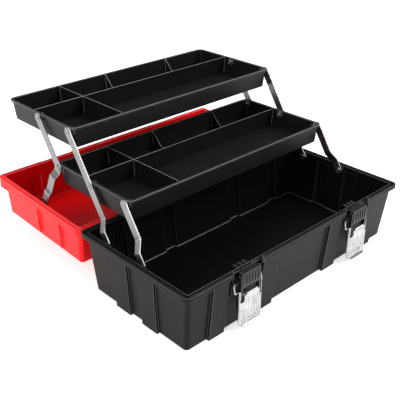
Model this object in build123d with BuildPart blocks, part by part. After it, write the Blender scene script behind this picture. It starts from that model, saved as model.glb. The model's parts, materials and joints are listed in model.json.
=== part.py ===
from build123d import *
import math
import os

os.makedirs("parts", exist_ok=True)

# A cantilever tool box, drawn open.  It stands on Z = 0 with the middle of its base over the
# origin: +X is the right end, -Y the latch side and +Y the hinge side.  Sizes are millimetres
# and degrees.

# ---------------------------------------------------------------- base tub
BOX_LENGTH = 440.0  # over the flange
BOX_DEPTH = 216.0  # over the flange
BASE_HEIGHT = 91.0
BASE_WALL = 3.2
BASE_FLOOR = 6.5
FLANGE_HEIGHT = 6.6
FLANGE_REACH_END = 6.5  # from the wall to the flange's outer edge
FLANGE_REACH_SIDE = 6.0
FLANGE_CORNER = 9.0
WALL_CORNER = 6.5
LEAN_END = 4.5  # how far the end walls lean in, from the flange down to the floor
LEAN_SIDE = 8.7
FOOT_ROUND = 3.0
GROOVE_INSET = 3.0  # seal groove in the rim, from the flange's edge
GROOVE_WIDTH = 4.0
GROOVE_DEPTH = 3.5

# ---------------------------------------------------------------- pilasters on base and lid
PILASTER_XS = ((55.5, 84.0), (147.0, 174.0))  # on the front and rear walls, on both sides of X = 0
PILASTER_PROUD = 4.0
END_PILASTER_PROUD = 3.5
BASE_END_PILASTERS = ((-42.0, -12.0), (12.0, 42.0))
LID_END_PILASTERS = ((-36.0, -5.0), (21.0, 52.0))
BASE_PILASTER_TOP = 84.0
PILASTER_SLOPE = 3.0  # height of the bevel that runs back into the wall

# ---------------------------------------------------------------- hinge
HINGE_BEYOND_EDGE = 1.0  # axis behind the flange's edge, level with the base's rim
HINGE_XS = (-100.0, 100.0)
KNUCKLE_RADIUS = 4.2
KNUCKLE_MIDDLE = 7.7  # half length of the lid's knuckle
KNUCKLE_OUTER = 22.0  # outer end of the base's knuckles
HINGE_PIN_RADIUS = 1.6
HINGE_NOTCH_GAP = 0.5
HINGE_HEAD_ROOM = 2.0  # beyond the outer knuckles, for the pin's heads
LID_OPEN_ANGLE = 178.0  # the lid's swing from shut to fully open

# ---------------------------------------------------------------- lid
LID_SEAT_GAP = 0.3  # between the shut lid's rim and the base's rim
LID_HEIGHT = 65.0
LID_WALL = 1.8
LID_WALL_INSET_END = 6.5
LID_WALL_INSET_SIDE = 5.7
LID_LEAN_END = 3.0
LID_LEAN_SIDE = 5.0
LID_TOP_ROUND = 6.0
LID_BAND_FRONT = 17.0  # height of the band round the rim, at the latch side
LID_BAND_REAR = 10.4
LID_BAND_SLOPE = (-90.0, -10.0)  # where the band's edge slopes down, front to rear
TONGUE_INSET = 3.6
TONGUE_WIDTH = 2.8
TONGUE_HEIGHT = 2.1

# ---------------------------------------------------------------- trays
TRAY_LENGTH = 389.0
TRAY_DEPTH = 166.0
TRAY_HEIGHT = 29.6
TRAY_WALL = 1.5
TRAY_FLOOR = 1.5
TRAY_CORNER = 8.0
TRAY_FLANGE = 2.2
TRAY_FLANGE_HEIGHT = 2.5
TRAY_LEAN = 2.3
DIVIDER = 1.4
DIVIDER_DROP = 0.5  # from the rim down to the tops of the full dividers
LONG_DIVIDER_Y = 17.5  # behind the tray's middle
CROSS_DIVIDER_X = -107.5
LOW_DIVIDER_XS = (-21.0, 107.0)
LOW_DIVIDER_HEIGHT = 8.0
FLOOR_RIB_PITCH = 6.0
FLOOR_RIB_WIDTH = 1.0
FLOOR_RIB_HEIGHT = 0.8
PIVOT_BELOW_RIM = 6.5
PIVOT_BOSS_RADIUS = 6.0
TRAY_BOSS_PROUD = 0.2  # beyond the tray's flange
TRAY_PAD_RADIUS = 5.2  # round pad inside the end wall, under the rivet's head
TRAY_PAD = 1.9

# ---------------------------------------------------------------- lifting arms
STRAP_WIDTH = 12.5
STRAP = 1.6
ARM_LOWER = 80.0  # base pivot to lower tray pivot
ARM_UPPER = 77.0  # lower tray pivot to upper tray pivot
ARM_ANGLE = 57.0  # above the horizontal, with the box open
ARM_SPACING = 73.5
MIDDLE_PIVOT_Y = 65.5
BASE_PIVOT_DROP = 6.7  # below the base's rim
PIVOT_AHEAD_OF_TRAY = 1.0  # middle pivot behind each tray's middle
ARM_GAP = 0.3  # tray boss to arm
STACK_GAP = 0.2  # between two straps on one rivet
JOGGLE = (16.0, 32.0)  # along the arm, where it steps in from the base's wall to the trays
ARM_WALL_GAP = 4.9  # lower end of the arm to the base's wall

# ---------------------------------------------------------------- lid link and its ear
LINK_END_BEHIND_HINGE = 100.0
LINK_END_ABOVE_HINGE = 4.25
LINK_STEPS = ((5.0, 15.0), (40.0, 46.0))
LINK_MIDDLE_STEP = 6.4
LINK_OUTER_STEP = 9.8
LINK_RELIEF = 0.5  # room beside the link's end, where it passes the lid's rear corners
EAR_GAP = 0.1
EAR_WIDTH = 14.0
EAR_LENGTH = 31.0
EAR_PAD_GAP = 0.1
EAR_PIN_RADIUS = 2.6
EAR_PIN_DROPS = (13.0, 20.0)  # from the link's pivot down to the ear's pins

# ---------------------------------------------------------------- rivets
RIVET_RADIUS = 2.5
RIVET_BORE = 1.3
HEAD_RADIUS = 4.4
TRAY_HEAD_RADIUS = 3.4  # inside the trays
HEAD = 1.1
RUNNING_GAP = 0.05
SIDE_GAP = 0.1

# ---------------------------------------------------------------- latches
LATCH_X = 115.0
LATCH_NOTCH = 56.0  # width of the gap in the base's flange
NOTCH_POST = (2.5, 3.0)  # width, and height above the rim
NOTCH_POST_Y = (0.8, 4.0)  # from the flange's front edge
BRACKET_WIDTH = 50.0
BRACKET_Z = (54.0, 83.8)
BRACKET_PLATE = 1.8
BRACKET_GAP = 0.1
BRACKET_EARS = (19.8, 22.6)
PRONG_XS = (-14.0, 0.0, 14.0)
PRONG_SIZE = (6.0, 4.0)
PRONG_Z = 77.5
PRONG_REACH = 2.6  # past the wall's inner face
PRONG_GAP = 0.3
FINGER_XS = (-8.0, 0.0, 8.0)  # bars through the wall, under the lid's tongue
FINGER_WIDTH = 4.0
FINGER_Z = (87.0, 88.6)
FINGER_REACH = 10.5  # past the wall's inner face
FINGER_PLATE = (-2.4, -0.6)  # upright plate that carries them, from the flange's root
WIRE_RADIUS = 1.1
WIRE_LEG_X = 24.5
WIRE_BEND = 1.8
WIRE_TOP = (-3.2, 72.0)  # from the flange's root out to the bar in the bracket, and its height
WIRE_FOOT = (-5.7, 60.0)
EYE_RADIUS = 2.5
LEVER_WIDTH = 41.0
LEVER_SHEET = 1.0
LEVER_DEPTH = 10.0
LEVER_CORNER = 5.0
LEVER_Z = (10.5, 63.2)
LEVER_FRONT = -12.8  # its face, from the flange's root
LEVER_SHOULDER = (48.0, 57.0)  # top of its rounded edges, and of its flat middle
LEVER_FLAT = 28.4
LEVER_EDGE_CUT = 2.2
LEVER_TAB = (20.0, 60.0)  # width and top of the centre tab
LEVER_SLOTS = (15.5, 20.5)
LEVER_SLOT = (13.0, 2.0)
LEVER_TOE_FLANGE = 3.0
HOOK_PIVOT = (-7.7, 54.5)
HOOK_WIDTH = 32.0
HOOK_Z = (66.0, 88.0)
HOOK_Y = (-12.2, -5.2)
HOOK_CHEEK = 1.8
HOOK_CHEEK_Y = (-10.2, -4.9)
HOOK_RIBS = 5
HOOK_RIB_DEPTH = 2.2
HOOK_PIN_RADIUS = 1.5

# ---------------------------------------------------------------- carrying handle
HANDLE_SPAN = 146.0
HANDLE_REACH = 44.0
HANDLE_ARM = 10.0
HANDLE_GRIP = 14.0
HANDLE_THICK = 8.0
HANDLE_TAIL = 4.0  # beyond the pivot
HANDLE_LIFT = 1.2  # folded handle above the lid's top
HANDLE_PIN_RADIUS = 2.5
LUG_WIDTH = 7.0
LUG_GAP = 0.4

# ---------------------------------------------------------------- sizes that follow
WALL_TOP = BASE_HEIGHT - FLANGE_HEIGHT
HALF_LENGTH = BOX_LENGTH / 2
HALF_DEPTH = BOX_DEPTH / 2
FLANGE_ROOT_Y = -(HALF_DEPTH - FLANGE_REACH_SIDE)
HINGE_Y = HALF_DEPTH + HINGE_BEYOND_EDGE
HINGE_Z = BASE_HEIGHT
HINGE_AXIS = Axis((0, HINGE_Y, HINGE_Z), (1, 0, 0))
LID_RIM = BASE_HEIGHT + LID_SEAT_GAP
LID_TOP = LID_RIM + LID_HEIGHT

ARM_COS = math.cos(math.radians(ARM_ANGLE))
ARM_SIN = math.sin(math.radians(ARM_ANGLE))
BASE_PIVOT_Z = BASE_HEIGHT - BASE_PIVOT_DROP
MIDDLE_FOOT = (MIDDLE_PIVOT_Y, BASE_PIVOT_Z)
FRONT_FOOT = (MIDDLE_PIVOT_Y - ARM_SPACING, BASE_PIVOT_Z)
LOWER_TRAY_PIVOT = (MIDDLE_FOOT[0] + ARM_LOWER * ARM_COS, MIDDLE_FOOT[1] + ARM_LOWER * ARM_SIN)
UPPER_TRAY_PIVOT = (
    LOWER_TRAY_PIVOT[0] + ARM_UPPER * ARM_COS,
    LOWER_TRAY_PIVOT[1] + ARM_UPPER * ARM_SIN,
)
LINK_TOP = (LOWER_TRAY_PIVOT[0] + ARM_SPACING, LOWER_TRAY_PIVOT[1])
LINK_END = (HINGE_Y + LINK_END_BEHIND_HINGE, HINGE_Z + LINK_END_ABOVE_HINGE)
LINK_LENGTH = math.dist(LINK_TOP, LINK_END)
LINK_ANGLE = math.degrees(math.atan2(LINK_END[1] - LINK_TOP[1], LINK_END[0] - LINK_TOP[0]))

TRAY_BOSS_X = TRAY_LENGTH / 2 + TRAY_BOSS_PROUD
TRAY_PAD_X = TRAY_LENGTH / 2 - TRAY_FLANGE - TRAY_LEAN - TRAY_WALL - TRAY_PAD
ARM_X = TRAY_BOSS_X + ARM_GAP
LINK_X = ARM_X + STRAP + STACK_GAP


def base_outer(z):
    """Half length and half depth of the base's outer wall at height z."""
    lean = 1 - z / WALL_TOP
    half_x = HALF_LENGTH - FLANGE_REACH_END - LEAN_END * lean
    half_y = HALF_DEPTH - FLANGE_REACH_SIDE - LEAN_SIDE * lean
    return half_x, half_y


def lid_outer(z):
    """Half length and half depth of the shut lid's outer wall at height z."""
    lean = (z - LID_RIM) / LID_HEIGHT
    half_x = HALF_LENGTH - LID_WALL_INSET_END - LID_LEAN_END * lean
    half_y = HALF_DEPTH - LID_WALL_INSET_SIDE - LID_LEAN_SIDE * lean
    return half_x, half_y


BASE_PIVOT_WALL_X = base_outer(BASE_PIVOT_Z)[0] - BASE_WALL
ARM_FOOT_X = BASE_PIVOT_WALL_X - ARM_WALL_GAP - STRAP
LINK_END_X = LINK_X + LINK_OUTER_STEP
EAR_X = LINK_END_X + STRAP + EAR_GAP
EAR_PAD_X = EAR_X + STRAP + EAR_PAD_GAP


# ---------------------------------------------------------------- shared shapes
def block(x, y, z, mode=Mode.ADD):
    """Add or cut the box that fills the (low, high) ranges x, y and z."""
    with BuildSketch(Plane.XY.offset(z[0])) as outline:
        with Locations(((x[0] + x[1]) / 2, (y[0] + y[1]) / 2)):
            Rectangle(x[1] - x[0], y[1] - y[0])
    extrude(outline.sketch, amount=z[1] - z[0], mode=mode)


def rounded_slab(half_x, half_y, z, corner, mode=Mode.ADD):
    """Add or cut an upright slab with rounded corners, over the (low, high) range z."""
    with BuildSketch(Plane.XY.offset(z[0])) as outline:
        RectangleRounded(2 * half_x, 2 * half_y, corner)
    extrude(outline.sketch, amount=z[1] - z[0], mode=mode)


def leaning_block(low_half, low_z, high_half, high_z, corner, middle_y=0.0, mode=Mode.ADD):
    """Add or cut a rounded block whose walls lean evenly from one section to the other."""
    with BuildSketch(Plane.XY.offset(low_z)) as low:
        with Locations((0, middle_y)):
            RectangleRounded(2 * low_half[0], 2 * low_half[1], corner)
    with BuildSketch(Plane.XY.offset(high_z)) as high:
        with Locations((0, middle_y)):
            RectangleRounded(2 * high_half[0], 2 * high_half[1], corner)
    loft([low.sketch.face(), high.sketch.face()], mode=mode)


def ring(outer_inset, width, z, mode=Mode.ADD):
    """Add or cut a ring that follows the flange's outline, over the (low, high) range z."""
    inner_inset = outer_inset + width
    with BuildSketch(Plane.XY.offset(z[0])) as outline:
        RectangleRounded(
            BOX_LENGTH - 2 * outer_inset, BOX_DEPTH - 2 * outer_inset, FLANGE_CORNER - outer_inset
        )
        RectangleRounded(
            BOX_LENGTH - 2 * inner_inset,
            BOX_DEPTH - 2 * inner_inset,
            FLANGE_CORNER - inner_inset,
            mode=Mode.SUBTRACT,
        )
    extrude(outline.sketch, amount=z[1] - z[0], mode=mode)


def prism_x(x, outline_yz, mode=Mode.ADD):
    """Add or cut the (y, z) outline, extruded over the (low, high) range x."""
    with BuildSketch(Plane.YZ.offset(x[0])) as outline:
        with BuildLine():
            Polyline(*outline_yz, close=True)
        make_face()
    extrude(outline.sketch, amount=x[1] - x[0], mode=mode)


def prism_y(y, outline_xz, mode=Mode.ADD):
    """Add or cut the (x, z) outline, extruded over the (low, high) range y."""
    with BuildSketch(Plane(origin=(0, y[1], 0), x_dir=(1, 0, 0), z_dir=(0, -1, 0))) as outline:
        with BuildLine():
            Polyline(*outline_xz, close=True)
        make_face()
    extrude(outline.sketch, amount=y[1] - y[0], mode=mode)


def rod_x(x, y, z, radius, mode=Mode.ADD):
    """Add or cut a round rod along X, over the (low, high) range x."""
    with BuildSketch(Plane.YZ.offset(x[0])) as outline:
        with Locations((y, z)):
            Circle(radius)
    extrude(outline.sketch, amount=x[1] - x[0], mode=mode)


def side_pilasters(half_at, z, inset, mode=Mode.ADD):
    """Add pilasters to the front and rear walls, or cut their hollows when inset is a wall."""
    for low_x, high_x in PILASTER_XS:
        for side_x in (-1, 1):
            span = sorted((side_x * (low_x + inset), side_x * (high_x - inset)))
            for side_y in (-1, 1):
                proud = PILASTER_PROUD - inset
                back = 1.0 + inset
                outline = (
                    (side_y * (half_at(z[0])[1] - back), z[0]),
                    (side_y * (half_at(z[0])[1] + proud), z[0]),
                    (side_y * (half_at(z[1])[1] + proud), z[1]),
                    (side_y * (half_at(z[1])[1] - back), z[1] + PILASTER_SLOPE),
                )
                prism_x(span, outline, mode)


def end_pilasters(spans, half_at, z, inset, mode=Mode.ADD):
    """Add pilasters to the end walls, or cut their hollows when inset is a wall."""
    for low_y, high_y in spans:
        for side_x in (-1, 1):
            proud = END_PILASTER_PROUD - inset
            back = 1.0 + inset
            outline = (
                (side_x * (half_at(z[0])[0] - back), z[0]),
                (side_x * (half_at(z[0])[0] + proud), z[0]),
                (side_x * (half_at(z[1])[0] + proud), z[1]),
                (side_x * (half_at(z[1])[0] - back), z[1] + PILASTER_SLOPE),
            )
            prism_y((low_y + inset, high_y - inset), outline, mode)


def strap_outline(stations):
    """Closed side view of a bent strap, from the inner face's (along, out) stations."""
    outer = []
    for index, (along, out) in enumerate(stations):
        before = stations[max(index - 1, 0)]
        after = stations[min(index + 1, len(stations) - 1)]
        slope_in = math.atan2(out - before[1], along - before[0]) if index else 0.0
        slope_out = math.atan2(after[1] - out, after[0] - along) if after[0] > along else 0.0
        middle = (slope_in + slope_out) / 2
        reach = STRAP / math.cos((slope_out - slope_in) / 2)
        outer.append((along - reach * math.sin(middle), out + reach * math.cos(middle)))
    return [*stations, *reversed(outer)]


def strap(foot, angle, stations, hole_places):
    """Add a bent strap with round ends and rivet holes, running from foot=(y, z) at an angle."""
    along = (0, math.cos(math.radians(angle)), math.sin(math.radians(angle)))
    across = (0, along[2], -along[1])
    start = (0, foot[0], foot[1])
    length = hole_places[-1]
    with BuildSketch(Plane(origin=start, x_dir=along, z_dir=across)) as side_view:
        with BuildLine():
            Polyline(*strap_outline(stations), close=True)
        make_face()
    extrude(side_view.sketch, amount=STRAP_WIDTH, both=True)
    with BuildSketch(Plane(origin=start, x_dir=along, z_dir=(1, 0, 0))) as plan:
        with Locations((length / 2, 0)):
            SlotCenterToCenter(length, STRAP_WIDTH)
        with Locations(*[(place, 0) for place in hole_places]):
            Circle(RIVET_RADIUS + RUNNING_GAP, mode=Mode.SUBTRACT)
    extrude(plan.sketch, amount=BOX_LENGTH, mode=Mode.INTERSECT)


def rivet(place, x_in, x_out, inner_radius, outer_radius=RIVET_RADIUS):
    """Add a rivet along X at place=(y, z), with a head on each side of the span x_in to x_out."""
    rod_x((x_in, x_out), place[0], place[1], RIVET_RADIUS)
    rod_x((x_in - HEAD, x_in), place[0], place[1], inner_radius)
    if outer_radius > RIVET_RADIUS:
        rod_x((x_out, x_out + HEAD), place[0], place[1], outer_radius)


def write_both_sides(right_piece, name):
    """Write the piece made on the right as NAME_right, and its mirror image as NAME_left."""
    for side in ("right", "left"):
        with BuildPart() as copy:
            add(right_piece.part)
            if side == "left":
                mirror(about=Plane.YZ, mode=Mode.REPLACE)
        copy.part.label = f"{name}_{side}"
        export_step(copy.part, f"parts/{name}_{side}.step")


def write_group(right_piece, name):
    """Write the pieces made on the right and their mirror images as one node of loose solids."""
    with BuildPart() as group:
        add(right_piece.part)
        mirror(right_piece.part, about=Plane.YZ)
    group.part.label = name
    export_step(group.part, f"parts/{name}.step")


# ---------------------------------------------------------------- base tub
with BuildPart() as base_tub:
    leaning_block(base_outer(0), 0, base_outer(WALL_TOP), WALL_TOP, WALL_CORNER)
    fillet(base_tub.edges().group_by(Axis.Z)[0], radius=FOOT_ROUND)
    rounded_slab(HALF_LENGTH, HALF_DEPTH, (WALL_TOP, BASE_HEIGHT), FLANGE_CORNER)
    side_pilasters(base_outer, (0, BASE_PILASTER_TOP), 0)
    end_pilasters(BASE_END_PILASTERS, base_outer, (0, BASE_PILASTER_TOP), 0)
    inner_low = [half - BASE_WALL for half in base_outer(BASE_FLOOR)]
    inner_high = [half - BASE_WALL for half in base_outer(BASE_HEIGHT)]
    leaning_block(
        inner_low, BASE_FLOOR, inner_high, BASE_HEIGHT, WALL_CORNER - BASE_WALL, mode=Mode.SUBTRACT
    )
    hollow_z = (BASE_FLOOR, BASE_PILASTER_TOP - BASE_WALL)
    side_pilasters(base_outer, hollow_z, BASE_WALL, Mode.SUBTRACT)
    end_pilasters(BASE_END_PILASTERS, base_outer, hollow_z, BASE_WALL, Mode.SUBTRACT)
    ring(GROOVE_INSET, GROOVE_WIDTH, (BASE_HEIGHT - GROOVE_DEPTH, BASE_HEIGHT), Mode.SUBTRACT)

    # Gaps in the front flange for the latches, each between two small posts.
    for latch_x in (-LATCH_X, LATCH_X):
        half_notch = LATCH_NOTCH / 2
        notch_x = (latch_x - half_notch, latch_x + half_notch)
        notch_y = (-HALF_DEPTH - 1, FLANGE_ROOT_Y - 0.5)
        block(notch_x, notch_y, (WALL_TOP, BASE_HEIGHT + 1), Mode.SUBTRACT)
        for post_x in (notch_x[0], notch_x[1] - NOTCH_POST[0]):
            block(
                (post_x, post_x + NOTCH_POST[0]),
                (-HALF_DEPTH + NOTCH_POST_Y[0], -HALF_DEPTH + NOTCH_POST_Y[1]),
                (WALL_TOP, BASE_HEIGHT + NOTCH_POST[1]),
            )
        for prong_x in PRONG_XS:
            half_width = PRONG_SIZE[0] / 2 + PRONG_GAP
            half_height = PRONG_SIZE[1] / 2 + PRONG_GAP
            block(
                (latch_x + prong_x - half_width, latch_x + prong_x + half_width),
                (-HALF_DEPTH, FLANGE_ROOT_Y + BASE_WALL + 3),
                (PRONG_Z - half_height, PRONG_Z + half_height),
                Mode.SUBTRACT,
            )
        for finger_x in FINGER_XS:
            half_width = FINGER_WIDTH / 2 + PRONG_GAP
            block(
                (latch_x + finger_x - half_width, latch_x + finger_x + half_width),
                (-HALF_DEPTH, FLANGE_ROOT_Y + BASE_WALL + 3),
                (FINGER_Z[0] - PRONG_GAP, FINGER_Z[1] + PRONG_GAP),
                Mode.SUBTRACT,
            )

    # Hinge knuckles, and the gaps in the rear flange where the lid's knuckles turn.
    for hinge_x in HINGE_XS:
        for side_x in (-1, 1):
            span = sorted((hinge_x + side_x * (KNUCKLE_MIDDLE + 0.3), hinge_x + side_x * KNUCKLE_OUTER))
            rod_x(span, HINGE_Y, HINGE_Z, KNUCKLE_RADIUS)
        clear = KNUCKLE_MIDDLE + 0.3
        block(
            (hinge_x - clear, hinge_x + clear),
            (HINGE_Y - KNUCKLE_RADIUS - HINGE_NOTCH_GAP, HALF_DEPTH + 1),
            (WALL_TOP, BASE_HEIGHT + 1),
            Mode.SUBTRACT,
        )
        bore_x = (hinge_x - KNUCKLE_OUTER - 1, hinge_x + KNUCKLE_OUTER + 1)
        rod_x(bore_x, HINGE_Y, HINGE_Z, HINGE_PIN_RADIUS + RUNNING_GAP, Mode.SUBTRACT)
        for side_x in (-1, 1):
            knuckle_end = hinge_x + side_x * KNUCKLE_OUTER
            head_x = sorted((knuckle_end, knuckle_end + side_x * HINGE_HEAD_ROOM))
            rod_x(head_x, HINGE_Y, HINGE_Z, HINGE_PIN_RADIUS + 1 + HINGE_NOTCH_GAP, Mode.SUBTRACT)

    # Bosses and blind holes for the arms' rivets.
    for foot in (MIDDLE_FOOT, FRONT_FOOT):
        for side_x in (-1, 1):
            boss_x = sorted((side_x * (ARM_FOOT_X + STRAP + SIDE_GAP), side_x * (BASE_PIVOT_WALL_X + 1)))
            rod_x(boss_x, foot[0], foot[1], PIVOT_BOSS_RADIUS)
            hole_x = sorted((side_x * ARM_FOOT_X, side_x * (BASE_PIVOT_WALL_X + BASE_WALL - 0.6)))
            rod_x(hole_x, foot[0], foot[1], RIVET_RADIUS + RUNNING_GAP, Mode.SUBTRACT)
base_tub.part.label = "base_tub"
export_step(base_tub.part, "parts/base_tub.step")

# ---------------------------------------------------------------- lid, drawn shut, then swung open
with BuildPart() as lid_band:
    band_top = LID_RIM + LID_BAND_FRONT
    low_band = LID_RIM + LID_BAND_REAR
    rounded_slab(HALF_LENGTH, HALF_DEPTH, (LID_RIM, band_top), FLANGE_CORNER)
    above_band = (
        (LID_BAND_SLOPE[0], band_top),
        (LID_BAND_SLOPE[1], low_band),
        (HALF_DEPTH + 1, low_band),
        (HALF_DEPTH + 1, band_top + 1),
        (LID_BAND_SLOPE[0], band_top + 1),
    )
    prism_x((-HALF_LENGTH - 1, HALF_LENGTH + 1), above_band, Mode.SUBTRACT)

with BuildPart() as shut_lid:
    leaning_block(lid_outer(LID_RIM), LID_RIM, lid_outer(LID_TOP), LID_TOP, WALL_CORNER)
    fillet(shut_lid.edges().group_by(Axis.Z)[-1], radius=LID_TOP_ROUND)
    add(lid_band.part)
    pilaster_z = (LID_TOP - LID_TOP_ROUND - PILASTER_SLOPE, LID_RIM + LID_BAND_REAR / 2)
    side_pilasters(lid_outer, (pilaster_z[1], pilaster_z[0]), 0)
    end_pilasters(LID_END_PILASTERS, lid_outer, (pilaster_z[1], pilaster_z[0]), 0)
    inner_low = [half - LID_WALL for half in lid_outer(LID_RIM)]
    inner_high = [half - LID_WALL for half in lid_outer(LID_TOP - LID_WALL)]
    leaning_block(
        inner_low, LID_RIM, inner_high, LID_TOP - LID_WALL, WALL_CORNER - LID_WALL, mode=Mode.SUBTRACT
    )
    hollow_z = (LID_RIM + LID_BAND_FRONT, pilaster_z[0] - LID_WALL)
    side_pilasters(lid_outer, hollow_z, LID_WALL, Mode.SUBTRACT)
    end_pilasters(LID_END_PILASTERS, lid_outer, hollow_z, LID_WALL, Mode.SUBTRACT)
    ring(TONGUE_INSET, TONGUE_WIDTH, (LID_RIM - TONGUE_HEIGHT, LID_RIM + 1))

    # Gaps in the front of the rim for the latch hooks.
    for latch_x in (-LATCH_X, LATCH_X):
        half_notch = LATCH_NOTCH / 2 + 0.5
        block(
            (latch_x - half_notch, latch_x + half_notch),
            (-HALF_DEPTH - 1, FLANGE_ROOT_Y - 1.3),
            (LID_RIM - TONGUE_HEIGHT - 1, BASE_HEIGHT + NOTCH_POST[1] + 0.6),
            Mode.SUBTRACT,
        )

    # Hinge knuckles, and the gaps in the rim where the base's knuckles turn.
    for hinge_x in HINGE_XS:
        for side_x in (-1, 1):
            outer_x = hinge_x + side_x * (KNUCKLE_OUTER + HINGE_HEAD_ROOM)
            span = sorted((hinge_x + side_x * KNUCKLE_MIDDLE, outer_x))
            block(
                span,
                (HINGE_Y - KNUCKLE_RADIUS - HINGE_NOTCH_GAP, HALF_DEPTH + 1),
                (LID_RIM - TONGUE_HEIGHT - 1, HINGE_Z + KNUCKLE_RADIUS + HINGE_NOTCH_GAP),
                Mode.SUBTRACT,
            )
        middle_x = (hinge_x - KNUCKLE_MIDDLE, hinge_x + KNUCKLE_MIDDLE)
        rod_x(middle_x, HINGE_Y, HINGE_Z, KNUCKLE_RADIUS)
        bore_x = (hinge_x - KNUCKLE_MIDDLE - 1, hinge_x + KNUCKLE_MIDDLE + 1)
        rod_x(bore_x, HINGE_Y, HINGE_Z, HINGE_PIN_RADIUS + RUNNING_GAP, Mode.SUBTRACT)

    # Room inside the rear corners of the rim for the round ends of the lid links.
    relief_outline = (
        (HALF_DEPTH - 14, LID_RIM - TONGUE_HEIGHT - 1),
        (HALF_DEPTH - 3.6, LID_RIM - TONGUE_HEIGHT - 1),
        (HALF_DEPTH - 3.6, LID_RIM + 0.5),
        (HALF_DEPTH - 6.6, LID_RIM + 4.2),
        (HALF_DEPTH - 9.6, LID_RIM + 8.2),
        (HALF_DEPTH - 11.6, LID_RIM + 10.3),
        (HALF_DEPTH - 12.8, LID_RIM + 12.2),
        (HALF_DEPTH - 14, LID_RIM + 12.2),
    )
    relief_x = (LINK_END_X - HEAD - LINK_RELIEF, LINK_END_X + STRAP + LINK_RELIEF)
    prism_x(relief_x, relief_outline, Mode.SUBTRACT)
    prism_x((-relief_x[1], -relief_x[0]), relief_outline, Mode.SUBTRACT)

    # Pads on the end walls that carry the link ears.
    open_cos = math.cos(math.radians(LID_OPEN_ANGLE))
    open_sin = math.sin(math.radians(LID_OPEN_ANGLE))
    ear_y = HINGE_Y + LINK_END_BEHIND_HINGE * open_cos - LINK_END_ABOVE_HINGE * open_sin
    ear_z = HINGE_Z + LINK_END_BEHIND_HINGE * open_sin + LINK_END_ABOVE_HINGE * open_cos
    pad_half = EAR_WIDTH / 2 - 0.5
    for side_x in (-1, 1):
        pad_z = (ear_z + EAR_PIN_DROPS[0] - 4, ear_z + EAR_LENGTH - EAR_WIDTH / 2)
        pad_x = sorted((side_x * EAR_PAD_X, side_x * (lid_outer(pad_z[1])[0] - LID_WALL / 2)))
        block(pad_x, (ear_y - pad_half, ear_y + pad_half), pad_z)
        for drop in EAR_PIN_DROPS:
            hole_x = sorted((side_x * EAR_X, side_x * (lid_outer(LID_TOP)[0] - LID_WALL / 2)))
            rod_x(hole_x, ear_y, ear_z + drop, EAR_PIN_RADIUS, Mode.SUBTRACT)

    # Lugs on top for the carrying handle.
    handle_z = LID_TOP + HANDLE_LIFT + HANDLE_THICK / 2
    lug_out = HANDLE_SPAN / 2 - HANDLE_ARM - LUG_GAP
    for side_x in (-1, 1):
        lug_x = sorted((side_x * (lug_out - LUG_WIDTH), side_x * lug_out))
        half_lug = HANDLE_THICK / 2 + 1
        block(lug_x, (-half_lug, half_lug), (LID_TOP - LID_WALL / 2, handle_z))
        rod_x(lug_x, 0, handle_z, half_lug)
        rod_x(lug_x, 0, handle_z, HANDLE_PIN_RADIUS, Mode.SUBTRACT)

with BuildPart() as lid_shell:
    add(shut_lid.part.rotate(HINGE_AXIS, -LID_OPEN_ANGLE))
lid_shell.part.label = "lid_shell"
export_step(lid_shell.part, "parts/lid_shell.step")


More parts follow.
